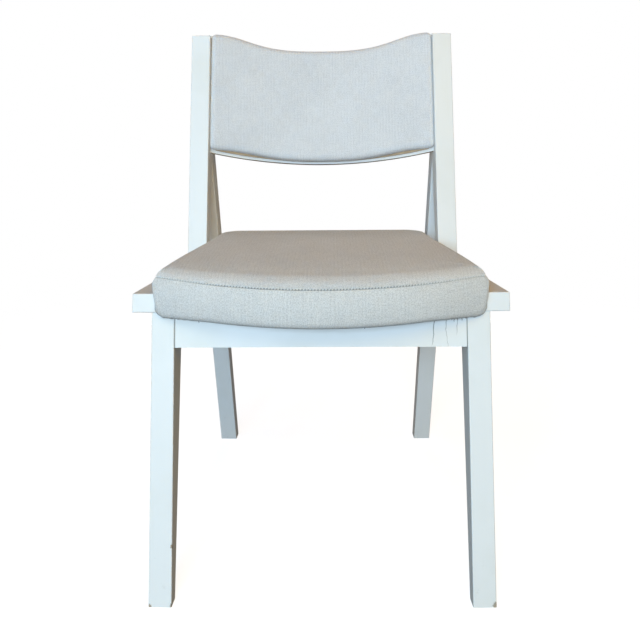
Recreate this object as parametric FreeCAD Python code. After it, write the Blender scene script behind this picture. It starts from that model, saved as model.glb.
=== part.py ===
import FreeCAD, Part
import math
import os

# Dining side chair: painted wooden frame, upholstered seat and curved upholstered backrest.
# Millimetres. +Z up, the chair faces -Y, +X is on the right of somebody looking at its front.
# The side frames are drawn in side view as (depth, height): depth 0 is the front edge of the front
# feet, and depth grows towards the back. World Y is depth minus HALF_DEPTH.

V = FreeCAD.Vector

# Side frames
MEMBER_WIDTH = 32.0          # thickness of every leg, post and rail across the chair
HALF_WIDTH = 238.0           # outer face of a side frame at depth 0
TOE_IN = 1.83                # degrees that each side frame turns inwards towards the back
EDGE_ROUND = 1.5

RAIL_BOTTOM = 395.0
RAIL_TOP = 421.0
RAIL_OVERHANG = 27.5         # how far the front end of the side rail stands out past the leg
RAIL_NOSE = 3.0              # and how far it stands in front of it

FRONT_LEG_SETBACK = 77.0     # depth of the leg's front edge at the rail
FRONT_FOOT = 22.0            # leg size front to back at the floor
FRONT_LEG_HEAD = 48.0        # and under the rail

REAR_FOOT_FRONT = 558.0
REAR_FOOT = 28.0
REAR_LEG_AT_RAIL = 440.0     # depth of its front edge at the rail's underside
REAR_LEG_HEAD = 32.0

POST_HEIGHT = 811.0
POST_LEAN = 13.55            # degrees back from upright
POST_FOOT_DEPTH = 302.6      # depth of the post's front edge on top of the rail
POST_FOOT = 27.0             # post size front to back on the rail
POST_WAIST = 38.0            # where the rear leg joins it
POST_TOP = 30.0
CROTCH_HEIGHT = 590.0        # where the rear leg's front edge meets the post
SHOULDER_HEIGHT = 660.0      # top of the post's wide stretch
LONG_EDGE = 100.0            # edges of a member longer than this are rounded

# Cross rails and blocks
APRON_THICK = 21.0
FRONT_APRON_BOTTOM = 346.7
REAR_APRON_THICK = 18.0
REAR_APRON_BOTTOM = 369.0
BLOCK_REACH = 70.0
CLEAT_WIDTH = 20.0
CLEAT_FRONT = 240.0
CLEAT_BACK = 370.0
CLEAT_BOTTOM = 397.0

# Dowels
DOWEL_R = 4.0
HOLE_CLEARANCE = 0.1
DOWEL_EDGE = 9.0             # paired dowels stand this far in from a member's faces
LEG_DOWEL_STEP = 10.0        # and these this far from the middle of the leg
LEG_DOWEL_IN_LEG = 25.0
LEG_DOWEL_BELOW_TOP = 7.0
POST_DOWEL_SHIFT = 1.0       # behind the middle of the post's foot
POST_DOWEL_ABOVE_UNDERSIDE = 6.0
POST_DOWEL_IN_POST = 22.0
RAIL_DOWEL_IN_RAIL = 26.0
RAIL_DOWEL_IN_LEG = 16.0
LEG_TOP_DOWELS = (12.0, 30.0)  # heights above the crotch
LEG_TOP_DOWEL_IN_POST = 22.0
LEG_TOP_DOWEL_IN_LEG = 11.0
FRONT_APRON_DOWELS = (14.0, 36.0)  # heights above the apron's lower edge
REAR_APRON_DOWELS = (10.0, 24.0)
APRON_DOWEL_IN_APRON = 22.0
APRON_DOWEL_IN_LEG = 10.0

# Screws
SCREW_R = 2.0
SCREW_HEAD_R = 4.0
SCREW_HEAD = 2.5
SEAT_SCREW_R = 2.5
SEAT_SCREW_HEAD_R = 5.5
SEAT_SCREW_HEAD = 3.0
TEE_BARREL_R = 4.0
TEE_FLANGE_R = 9.0
TEE_FLANGE = 1.2
TEE_BARREL = 9.0
BLOCK_SCREW_EDGE = 7.0       # from the block's lower or upper face
BLOCK_SIDE_SCREW = (38.0, 24.0)   # in from the side frame, and along from the apron
BLOCK_APRON_SCREW = (22.0, 36.0)
CLEAT_SCREW_END = 25.0       # from the cleat's ends
CLEAT_SCREW_SINK = 6.0
CLEAT_SCREW_LIFT = 4.0       # higher than the block screws
BLOCK_SCREW_LENGTHS = (50.0, 50.0, 50.0, 48.0, 30.0, 30.0)
SEAT_SCREW_PLACE = (36.0, 11.0)   # in from the side frame, and behind the front apron
PAD_SCREW_SHORT = 1.0        # the tip stays this far inside the pad board
BLOCK_RUN_OUT = 60.0         # length of the clear way to a screw head
SEAT_RUN_OUT = 30.0
PANEL_RUN_OUT = 10.0

# Seat
DUST_COVER = 0.8
BOARD = 12.0
BOARD_INSET = 7.0            # board edge inside the cushion's outer line
COVER = 1.5
SEAT_TOP = 469.0
SEAT_TOP_ROUND = 20.0
SEAM_HEIGHT = 441.0
SEAT_FRONT = 16.0            # depth of the bowed front at the middle
SEAT_CORNER = (238.0, 78.0)  # half-width and depth of the front corner
SEAT_WAIST = (196.5, 298.0)  # just ahead of the posts
SEAT_BACK = (190.0, 408.0)
FRONT_CORNER_R = 26.0
BACK_CORNER_R = 45.0
NOSE_BOTTOM = 386.0
NOSE_BACK = 71.0             # the nose hangs in front of the legs and ends here
NOSE_CORNER_R = 28.0
DUST_COVER_EDGE = 8.0        # dust cover edge inside the board's
DUST_COVER_GAP = 4.0         # and behind the nose
STAPLE_CROWN = 10.0
STAPLE_WIRE = 0.7
STAPLE_LEG = 6.0
STAPLE_PITCH = 42.0
STAPLES_FROM_BACK = 26.0
STAPLES_FROM_LEGS = 40.0
SIDE_STAPLE_X = 178.0
SIDE_STAPLE_DEPTHS = (190.0, 215.0)

# Backrest, measured up the lean of the posts (rise) and square to it, backwards (set)
PAD_HALF = 191.8             # half-width between the posts
PANEL = 9.0
PANEL_SET = 19.0             # front face of the panel behind the posts' front faces, at its ends
PANEL_SAG = 43.0             # how much deeper it lies at the middle
PANEL_HOUSING = 6.0          # how far the panel's ends go into the posts
PAD_BOARD = 5.0
PAD_SET = 3.0
PAD_SAG = 37.0
PAD_COVER = 1.2
PAD_EDGE = 171.0             # half-width at which the top and bottom edges are highest
PAD_TOP = (818.0, 841.0)     # rise of the top edge at the middle and at PAD_EDGE
PAD_BOTTOM = (620.0, 634.0)
PAD_CORNER_R = 9.0
PANEL_MARGIN = 3.0           # the panel shows this much below the pad
BACK_SCREW_X = (60.0, 150.0)
BACK_SCREW_RISE = (665.0, 785.0)

# Solids drawn too large and then trimmed
FAR = 1200.0
TRIM = 5.0
PLAN_SLAB = 10.0
CUTTER_FRONT = -20.0
CUTTER_DEPTH = 200.0
CUTTER_SIDE = 20.0

toe = math.radians(TOE_IN)
lean = math.radians(POST_LEAN)
LENGTH = REAR_FOOT_FRONT + REAR_FOOT
HALF_DEPTH = (LENGTH * math.cos(toe) - MEMBER_WIDTH * math.sin(toe)) / 2
BOARD_BOTTOM = RAIL_TOP + DUST_COVER
BOARD_TOP = BOARD_BOTTOM + BOARD


def inner_face(depth):
    """Half the clear width between the side frames at a depth."""
    return HALF_WIDTH - MEMBER_WIDTH / math.cos(toe) - depth * math.tan(toe)


def front_leg_line(height):
    return FRONT_LEG_SETBACK * height / RAIL_BOTTOM


def rear_leg_line(height):
    return REAR_FOOT_FRONT + (REAR_LEG_AT_RAIL - REAR_FOOT_FRONT) * height / RAIL_BOTTOM


def rear_leg_back_line(height):
    return rear_leg_line(height) + REAR_FOOT + (REAR_LEG_HEAD - REAR_FOOT) * height / RAIL_BOTTOM


def post_line(height):
    return POST_FOOT_DEPTH + (height - RAIL_TOP) * math.tan(lean)


def prism(points, along):
    """A closed outline swept along a vector."""
    wire = Part.makePolygon(points + points[:1])
    return Part.Face(wire).extrude(along)


def long_edges_rounded(solid, shortest, radius=EDGE_ROUND):
    edges = [edge for edge in solid.Edges if edge.Length > shortest]
    return solid.makeFillet(radius, edges)


def place_right(solid):
    """From a side frame's own plan (x 0 is its outer face, y is depth) to the chair's right side."""
    solid = solid.copy()
    solid.rotate(V(0, 0, 0), V(0, 0, 1), TOE_IN)
    solid.translate(V(HALF_WIDTH, -HALF_DEPTH, 0))
    return solid


def mirrored(solid):
    return solid.mirror(V(0, 0, 0), V(1, 0, 0))


def side_member(outline):
    """A frame member from its side view, in the frame's own plan."""
    points = [V(-MEMBER_WIDTH, depth, height) for depth, height in outline]
    return prism(points, V(MEMBER_WIDTH, 0, 0))


def crosswise(outline, half=HALF_WIDTH):
    """A piece from its side view, running right across the chair."""
    points = [V(-half, depth - HALF_DEPTH, height) for depth, height in outline]
    return prism(points, V(2 * half, 0, 0))


def flat_piece(outline, bottom, top):
    """A piece from its plan view, as (x, depth) points."""
    points = [V(x, depth - HALF_DEPTH, bottom) for x, depth in outline]
    return prism(points, V(0, 0, top - bottom))


def between_frames():
    near = inner_face(0)
    far = inner_face(LENGTH)
    outline = [(-near, 0), (near, 0), (far, LENGTH), (-far, LENGTH)]
    return flat_piece(outline, 0, POST_HEIGHT)


def rod(start, end, radius):
    axis = end - start
    return Part.makeCylinder(radius, axis.Length, start, axis)


def pin_hole(start, end, radius):
    """The hole for a rod, a little larger and longer."""
    step = (end - start).normalize() * HOLE_CLEARANCE
    return rod(start - step, end + step, radius + HOLE_CLEARANCE)


def screw(seat, direction, length, radius=SCREW_R, head_radius=SCREW_HEAD_R, head=SCREW_HEAD):
    """A screw whose head sits on a point and whose shank runs along a direction."""
    shank = rod(seat, seat + direction * length, radius)
    cap = rod(seat - direction * head, seat, head_radius)
    return shank.fuse(cap).removeSplitter()


def screw_hole(seat, direction, length, run_out, radius=SCREW_R, head_radius=SCREW_HEAD_R):
    shank = pin_hole(seat, seat + direction * length, radius)
    mouth = rod(seat - direction * run_out, seat, head_radius + 2 * HOLE_CLEARANCE)
    return shank.fuse(mouth)


def front_leg():
    outline = [(0, 0), (FRONT_FOOT, 0), (FRONT_LEG_SETBACK + FRONT_LEG_HEAD, RAIL_BOTTOM)]
    outline.append((FRONT_LEG_SETBACK, RAIL_BOTTOM))
    return long_edges_rounded(side_member(outline), LONG_EDGE)


def leg_top():
    """Where the rear leg's back edge runs out against the post, as (depth, height)."""
    slope = post_slope()
    back_slope = (rear_leg_back_line(RAIL_BOTTOM) - rear_leg_back_line(0)) / RAIL_BOTTOM
    rise = rear_leg_back_line(CROTCH_HEIGHT) - rear_leg_line(CROTCH_HEIGHT)
    height = CROTCH_HEIGHT + rise / (slope - back_slope)
    return rear_leg_back_line(height), height


def post_slope():
    """Depth per height along the joint between the post and the rear leg."""
    shoulder = post_line(SHOULDER_HEIGHT) + POST_WAIST
    return (shoulder - rear_leg_line(CROTCH_HEIGHT)) / (SHOULDER_HEIGHT - CROTCH_HEIGHT)


def rear_leg():
    crotch = (rear_leg_line(CROTCH_HEIGHT), CROTCH_HEIGHT)
    outline = [(REAR_FOOT_FRONT, 0), (REAR_FOOT_FRONT + REAR_FOOT, 0), leg_top(), crotch]
    return long_edges_rounded(side_member(outline), LONG_EDGE)


def back_post():
    top_front = (post_line(POST_HEIGHT), POST_HEIGHT)
    top_back = (top_front[0] + POST_TOP * math.cos(lean), POST_HEIGHT - POST_TOP * math.sin(lean))
    outline = [(POST_FOOT_DEPTH, RAIL_TOP), top_front, top_back]
    outline.append((post_line(SHOULDER_HEIGHT) + POST_WAIST, SHOULDER_HEIGHT))
    outline.append((rear_leg_line(CROTCH_HEIGHT), CROTCH_HEIGHT))
    outline.append((POST_FOOT_DEPTH + POST_FOOT, RAIL_TOP))
    solid = side_member(outline)
    edges = [edge for edge in solid.Edges if edge.Length > LONG_EDGE]
    edges += [edge for edge in solid.Edges if edge.BoundBox.ZMin > POST_HEIGHT - POST_TOP]
    return solid.makeFillet(EDGE_ROUND, edges)


def side_rail():
    front = FRONT_LEG_SETBACK - RAIL_NOSE
    front_top = front_leg_line(RAIL_TOP) - RAIL_NOSE
    side_view = [(front, RAIL_BOTTOM), (REAR_LEG_AT_RAIL, RAIL_BOTTOM)]
    side_view += [(rear_leg_line(RAIL_TOP), RAIL_TOP), (front_top, RAIL_TOP)]
    points = [V(-MEMBER_WIDTH, depth, height) for depth, height in side_view]
    bar = prism(points, V(MEMBER_WIDTH + RAIL_OVERHANG, 0, 0))
    back = rear_leg_line(RAIL_TOP)
    plan = [(-MEMBER_WIDTH, 0), (RAIL_OVERHANG, 0), (RAIL_OVERHANG, front)]
    plan += [(0, back), (0, LENGTH), (-MEMBER_WIDTH, LENGTH)]
    shape = prism([V(x, depth, RAIL_BOTTOM) for x, depth in plan], V(0, 0, RAIL_TOP - RAIL_BOTTOM))
    rail = bar.common(shape).removeSplitter()
    tip = front_top + EDGE_ROUND
    edges = [edge for edge in rail.Edges if edge.Length > LONG_EDGE or edge.BoundBox.YMax < tip]
    return rail.makeFillet(EDGE_ROUND, edges)


def front_apron():
    low = front_leg_line(FRONT_APRON_BOTTOM)
    high = front_leg_line(RAIL_TOP)
    outline = [(low, FRONT_APRON_BOTTOM), (low + APRON_THICK, FRONT_APRON_BOTTOM)]
    outline += [(high + APRON_THICK, RAIL_TOP), (high, RAIL_TOP)]
    return crosswise(outline).common(between_frames())


def rear_apron_line(height):
    """Front face of the rear apron, centred in the rear legs."""
    return (rear_leg_line(height) + rear_leg_back_line(height) - REAR_APRON_THICK) / 2


def rear_apron():
    low = rear_apron_line(REAR_APRON_BOTTOM)
    high = rear_apron_line(RAIL_TOP)
    outline = [(low, REAR_APRON_BOTTOM), (low + REAR_APRON_THICK, REAR_APRON_BOTTOM)]
    outline += [(high + REAR_APRON_THICK, RAIL_TOP), (high, RAIL_TOP)]
    return crosswise(outline).common(between_frames())


def front_block():
    """Corner block behind the front apron, on the right side."""
    low = front_leg_line(RAIL_BOTTOM) + APRON_THICK
    high = front_leg_line(RAIL_TOP) + APRON_THICK
    side = inner_face(low)
    plan = [(side - BLOCK_REACH, 0), (side + TRIM, 0), (side + TRIM, low + BLOCK_REACH)]
    plan += [(side, low + BLOCK_REACH), (side - BLOCK_REACH, low)]
    far = LENGTH / 2
    outline = [(low, RAIL_BOTTOM), (far, RAIL_BOTTOM), (far, RAIL_TOP), (high, RAIL_TOP)]
    block = flat_piece(plan, RAIL_BOTTOM, RAIL_TOP).common(crosswise(outline))
    return block.common(between_frames())


def rear_block():
    """Corner block ahead of the rear apron, on the right side."""
    low = rear_apron_line(RAIL_BOTTOM)
    high = rear_apron_line(RAIL_TOP)
    side = inner_face(low)
    plan = [(side - BLOCK_REACH, LENGTH), (side + TRIM, LENGTH), (side + TRIM, high - BLOCK_REACH)]
    plan += [(side, high - BLOCK_REACH), (side - BLOCK_REACH, high)]
    near = LENGTH / 2
    outline = [(near, RAIL_BOTTOM), (low, RAIL_BOTTOM), (high, RAIL_TOP), (near, RAIL_TOP)]
    block = flat_piece(plan, RAIL_BOTTOM, RAIL_TOP).common(crosswise(outline))
    return block.common(between_frames())


def seat_cleat():
    return Part.makeBox(CLEAT_WIDTH, CLEAT_BACK - CLEAT_FRONT, RAIL_TOP - CLEAT_BOTTOM,
                        V(-MEMBER_WIDTH - CLEAT_WIDTH, CLEAT_FRONT, CLEAT_BOTTOM))


def frame_dowels():
    """Ends of each dowel of one side frame, in the frame's own plan, by joint."""
    inner = -MEMBER_WIDTH
    pair = (inner + DOWEL_EDGE, -DOWEL_EDGE)
    leg_mid = FRONT_LEG_SETBACK + FRONT_LEG_HEAD / 2
    post_mid = POST_FOOT_DEPTH + POST_FOOT / 2 + POST_DOWEL_SHIFT
    rail_mid = (RAIL_BOTTOM + RAIL_TOP) / 2
    joints = {name: [] for name in ("front_leg", "post_foot", "side_rail", "rear_leg_top",
                                    "front_apron", "rear_apron")}
    for step in (-LEG_DOWEL_STEP, LEG_DOWEL_STEP):
        foot = V(inner / 2, leg_mid + step, RAIL_BOTTOM - LEG_DOWEL_IN_LEG)
        joints["front_leg"].append((foot, V(foot.x, foot.y, RAIL_TOP - LEG_DOWEL_BELOW_TOP)))
    for x in pair:
        foot = V(x, post_mid, RAIL_BOTTOM + POST_DOWEL_ABOVE_UNDERSIDE)
        joints["post_foot"].append((foot, V(x, post_mid, RAIL_TOP + POST_DOWEL_IN_POST)))
        start = V(x, REAR_LEG_AT_RAIL - RAIL_DOWEL_IN_RAIL, rail_mid)
        joints["side_rail"].append((start, V(x, REAR_LEG_AT_RAIL + RAIL_DOWEL_IN_LEG, rail_mid)))
    normal = V(0, 1, -post_slope()).normalize()
    for rise in LEG_TOP_DOWELS:
        depth = rear_leg_line(CROTCH_HEIGHT) + post_slope() * rise
        middle = V(inner / 2, depth, CROTCH_HEIGHT + rise)
        start = middle - normal * LEG_TOP_DOWEL_IN_POST
        joints["rear_leg_top"].append((start, middle + normal * LEG_TOP_DOWEL_IN_LEG))
    for rise in FRONT_APRON_DOWELS:
        height = FRONT_APRON_BOTTOM + rise
        depth = front_leg_line(height) + APRON_THICK / 2
        start = V(inner - APRON_DOWEL_IN_APRON, depth, height)
        joints["front_apron"].append((start, V(inner + APRON_DOWEL_IN_LEG, depth, height)))
    for rise in REAR_APRON_DOWELS:
        height = REAR_APRON_BOTTOM + rise
        depth = rear_apron_line(height) + REAR_APRON_THICK / 2
        start = V(inner - APRON_DOWEL_IN_APRON, depth, height)
        joints["rear_apron"].append((start, V(inner + APRON_DOWEL_IN_LEG, depth, height)))
    return joints


def block_screws():
    """Seat and direction of each wood screw in the right-hand blocks and cleat, chair coordinates."""
    low = RAIL_BOTTOM + BLOCK_SCREW_EDGE
    high = RAIL_TOP - BLOCK_SCREW_EDGE
    front = front_leg_line(high) + APRON_THICK
    back = rear_apron_line(low)
    along_x = V(1, 0, 0)
    side = inner_face(front)
    side_back = inner_face(back)
    into_side, from_apron = BLOCK_SIDE_SCREW
    into_apron, along_apron = BLOCK_APRON_SCREW
    places = [
        (V(side - into_side, front + from_apron - HALF_DEPTH, low), along_x),
        (V(side - into_apron, front + along_apron - HALF_DEPTH, high), V(0, -1, 0)),
        (V(side_back - into_side, back - from_apron - HALF_DEPTH, low), along_x),
        (V(side_back - into_apron, back - along_apron - HALF_DEPTH, high), V(0, 1, 0)),
    ]
    for depth in (CLEAT_FRONT + CLEAT_SCREW_END, CLEAT_BACK - CLEAT_SCREW_END):
        x = inner_face(depth) - CLEAT_WIDTH + CLEAT_SCREW_SINK
        places.append((V(x, depth - HALF_DEPTH, low + CLEAT_SCREW_LIFT), along_x))
    return places


def seat_screw_places():
    """Plan positions of the right-hand seat screws, in chair coordinates."""
    front = front_leg_line(RAIL_TOP) + APRON_THICK
    middle = (CLEAT_FRONT + CLEAT_BACK) / 2
    inward, behind = SEAT_SCREW_PLACE
    return [
        V(inner_face(front) - inward, front + behind - HALF_DEPTH, RAIL_BOTTOM),
        V(inner_face(middle) - CLEAT_WIDTH / 2, middle - HALF_DEPTH, CLEAT_BOTTOM),
    ]


def seat_plan(inset):
    """Plan outline of the cushion, drawn in by an inset, as a face at height 0."""
    corner_x, corner = SEAT_CORNER
    waist_x, waist = SEAT_WAIST
    back_x, back = SEAT_BACK
    left = V(-corner_x, corner - HALF_DEPTH, 0)
    right = V(corner_x, corner - HALF_DEPTH, 0)
    front = Part.Arc(left, V(0, SEAT_FRONT - HALF_DEPTH, 0), right).toShape()
    rest = [right, V(waist_x, waist - HALF_DEPTH, 0), V(back_x, back - HALF_DEPTH, 0)]
    rest += [V(-point.x, point.y, 0) for point in reversed(rest)]
    wire = Part.Wire([front] + Part.makePolygon(rest).Edges)
    slab = Part.Face(wire).extrude(V(0, 0, PLAN_SLAB))
    near = [edge for edge in slab.Edges if edge.BoundBox.ZLength > PLAN_SLAB / 2
            and abs(edge.CenterOfMass.x) > corner_x - 1]
    slab = slab.makeFillet(FRONT_CORNER_R, near)
    far = [edge for edge in slab.Edges if edge.BoundBox.ZLength > PLAN_SLAB / 2
           and edge.CenterOfMass.y > back - HALF_DEPTH - 1]
    slab = slab.makeFillet(BACK_CORNER_R, far)
    floor = [face for face in slab.Faces if face.BoundBox.ZMax < 0.1][0]
    if inset > 0:
        floor = Part.Face(floor.OuterWire.makeOffset2D(-inset))
    return floor


def seat_slab(inset, bottom, top):
    face = seat_plan(inset)
    face.translate(V(0, 0, bottom))
    return face.extrude(V(0, 0, top - bottom))


def seat_nose(inset):
    """The part of the seat that hangs in front of the legs, with rounded lower corners."""
    half = SEAT_CORNER[0] - inset
    bottom = NOSE_BOTTOM + inset
    box = Part.makeBox(2 * half, NOSE_BACK, BOARD_BOTTOM - bottom, V(-half, -HALF_DEPTH, bottom))
    corners = [edge for edge in box.Edges
               if edge.BoundBox.YLength > NOSE_BACK - 1 and edge.BoundBox.ZMax < bottom + 1]
    box = box.makeFillet(NOSE_CORNER_R - inset, corners)
    return box.common(seat_slab(inset, bottom, BOARD_BOTTOM))


def seat_envelope(inset):
    top = SEAT_TOP - inset
    slab = seat_slab(inset, BOARD_BOTTOM, top)
    rim = [edge for edge in slab.Edges if edge.BoundBox.ZMin > top - 0.1]
    slab = slab.makeFillet(SEAT_TOP_ROUND - inset, rim)
    return slab.fuse(seat_nose(inset)).removeSplitter()


def below(height):
    return Part.makeBox(FAR, FAR, height + FAR, V(-FAR / 2, -FAR / 2, -FAR))


def seat_pieces():
    outer = seat_envelope(0)
    inner = seat_envelope(COVER)
    cover = outer.cut(inner)
    board = seat_slab(BOARD_INSET, BOARD_BOTTOM, BOARD_TOP)
    lip = seat_nose(BOARD_INSET)
    padding = inner.common(below(BOARD_TOP)).cut(board).cut(lip)
    sheet = seat_slab(BOARD_INSET + DUST_COVER_EDGE, RAIL_TOP, BOARD_BOTTOM)
    cover_front = NOSE_BACK + DUST_COVER_GAP - HALF_DEPTH
    behind_lip = Part.makeBox(FAR, FAR, FAR, V(-FAR / 2, cover_front, 0))
    return {
        "seat_board": board,
        "seat_front_lip": lip,
        "seat_foam": inner.cut(below(BOARD_TOP)),
        "seat_edge_padding": padding,
        "seat_cover_top": cover.cut(below(SEAM_HEIGHT)),
        "seat_cover_band": cover.common(below(SEAM_HEIGHT)),
        "seat_dust_cover": sheet.common(behind_lip),
    }


def place_backrest(solid):
    """From the backrest's own axes (x across, y set, z rise) to the chair."""
    solid = solid.copy()
    solid.rotate(V(0, 0, 0), V(1, 0, 0), -POST_LEAN)
    solid.translate(V(0, post_line(0) - HALF_DEPTH, 0))
    return solid


def bend_radius(sag):
    return (PAD_HALF ** 2 + sag ** 2) / (2 * sag)


def bent_layer(front_set, front_sag, back_set, back_sag):
    """A full-height curved layer between two arcs, given by their set at the ends and their sag."""
    layers = []
    for end_set, sag in ((back_set, back_sag), (front_set, front_sag)):
        radius = bend_radius(sag)
        centre = V(0, end_set + sag - radius, 0)
        layers.append(Part.makeCylinder(radius, FAR, centre))
    slab = layers[0].cut(layers[1])
    half = PAD_HALF + CUTTER_SIDE
    keep = Part.makeBox(2 * half, CUTTER_DEPTH, FAR, V(-half, CUTTER_FRONT, 0))
    return slab.common(keep)


def pad_outline(inset, drop=0.0, corner_radius=PAD_CORNER_R, half=PAD_HALF):
    """Front view of the pad, deep enough to cut any layer; drop lowers the bottom edge."""
    half = half - inset
    grow = (half / PAD_EDGE) ** 2
    top_mid = PAD_TOP[0] - inset
    top_end = top_mid + (PAD_TOP[1] - PAD_TOP[0]) * grow
    bottom_mid = PAD_BOTTOM[0] + inset - drop
    bottom_end = bottom_mid + (PAD_BOTTOM[1] - PAD_BOTTOM[0]) * grow
    top_end = min(top_end, PAD_TOP[1] - inset)
    bottom_end = min(bottom_end, PAD_BOTTOM[1] + inset - drop)
    corners = [V(-half, CUTTER_FRONT, bottom_end), V(half, CUTTER_FRONT, bottom_end)]
    corners += [V(half, CUTTER_FRONT, top_end), V(-half, CUTTER_FRONT, top_end)]
    edges = [
        Part.Arc(corners[0], V(0, CUTTER_FRONT, bottom_mid), corners[1]).toShape(),
        Part.makeLine(corners[1], corners[2]),
        Part.Arc(corners[2], V(0, CUTTER_FRONT, top_mid), corners[3]).toShape(),
        Part.makeLine(corners[3], corners[0]),
    ]
    solid = Part.Face(Part.Wire(edges)).extrude(V(0, CUTTER_DEPTH, 0))
    if corner_radius > inset:
        along = [edge for edge in solid.Edges if edge.BoundBox.YLength > CUTTER_DEPTH - 1]
        solid = solid.makeFillet(corner_radius - inset, along)
    return solid


def backrest_pieces():
    layers = {
        "backrest_panel": bent_layer(PANEL_SET, PANEL_SAG, PANEL_SET + PANEL, PANEL_SAG),
        "backrest_pad_board": bent_layer(PANEL_SET - PAD_BOARD, PANEL_SAG, PANEL_SET, PANEL_SAG),
        "backrest_foam": bent_layer(PAD_SET + PAD_COVER, PAD_SAG, PANEL_SET - PAD_BOARD, PANEL_SAG),
        "backrest_cover": bent_layer(PAD_SET, PAD_SAG, PANEL_SET, PANEL_SAG),
    }
    pad = pad_outline(0)
    core = pad_outline(PAD_COVER)
    panel_half = PAD_HALF + PANEL_HOUSING
    pieces = {
        "backrest_panel": layers["backrest_panel"].common(
            pad_outline(0, PANEL_MARGIN, 0, panel_half)),
        "backrest_pad_board": layers["backrest_pad_board"].common(core),
        "backrest_foam": layers["backrest_foam"].common(core),
    }
    hollow = layers["backrest_foam"].fuse(layers["backrest_pad_board"]).common(core)
    pieces["backrest_cover"] = layers["backrest_cover"].common(pad).cut(hollow)
    return pieces


def back_screws():
    """Seat of each pad screw on the back of the panel, in the backrest's own axes."""
    places = []
    radius = bend_radius(PANEL_SAG)
    for x in BACK_SCREW_X:
        for side in (-1, 1):
            tilt = math.asin(side * x / radius)
            direction = V(-math.sin(tilt), -math.cos(tilt), 0)
            centre_set = PANEL_SET + PANEL + PANEL_SAG - radius
            seat = V(0, centre_set, 0) - direction * (radius - SCREW_HEAD)
            places += [(seat + V(0, 0, rise), direction) for rise in BACK_SCREW_RISE]
    return places


def staple_places():
    """Middle and crown direction of each staple under the seat, at the board's underside."""
    places = []
    for index in range(-3, 4):
        x = index * STAPLE_PITCH
        for depth in (SEAT_BACK[1] - STAPLES_FROM_BACK, FRONT_LEG_SETBACK + STAPLES_FROM_LEGS):
            places.append((V(x, depth - HALF_DEPTH, RAIL_TOP), V(1, 0, 0)))
    for side in (-1, 1):
        for depth in SIDE_STAPLE_DEPTHS:
            places.append((V(side * SIDE_STAPLE_X, depth - HALF_DEPTH, RAIL_TOP), V(0, 1, 0)))
    return places


def staple(middle, along):
    """A wire staple: a crown under the dust cover and two legs up into the board."""
    wire = STAPLE_WIRE
    reach = DUST_COVER + STAPLE_LEG
    across = V(along.y, along.x, 0)
    corner = middle - along * (STAPLE_CROWN / 2) - across * (wire / 2) - V(0, 0, wire)
    size = along * STAPLE_CROWN + across * wire
    crown = Part.makeBox(size.x, size.y, wire, corner)
    leg_size = (along + across) * wire
    solid = crown
    for shift in (0, STAPLE_CROWN - wire):
        foot = corner + along * shift
        solid = solid.fuse(Part.makeBox(leg_size.x, leg_size.y, wire + reach, foot))
    return solid.removeSplitter()


def write(name, solids):
    shape = solids[0] if len(solids) == 1 else Part.makeCompound(solids)
    shape.exportStep("parts/" + name + ".step")


def single(shape):
    """The one solid of a boolean result."""
    return shape.Solids[0]


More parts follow.
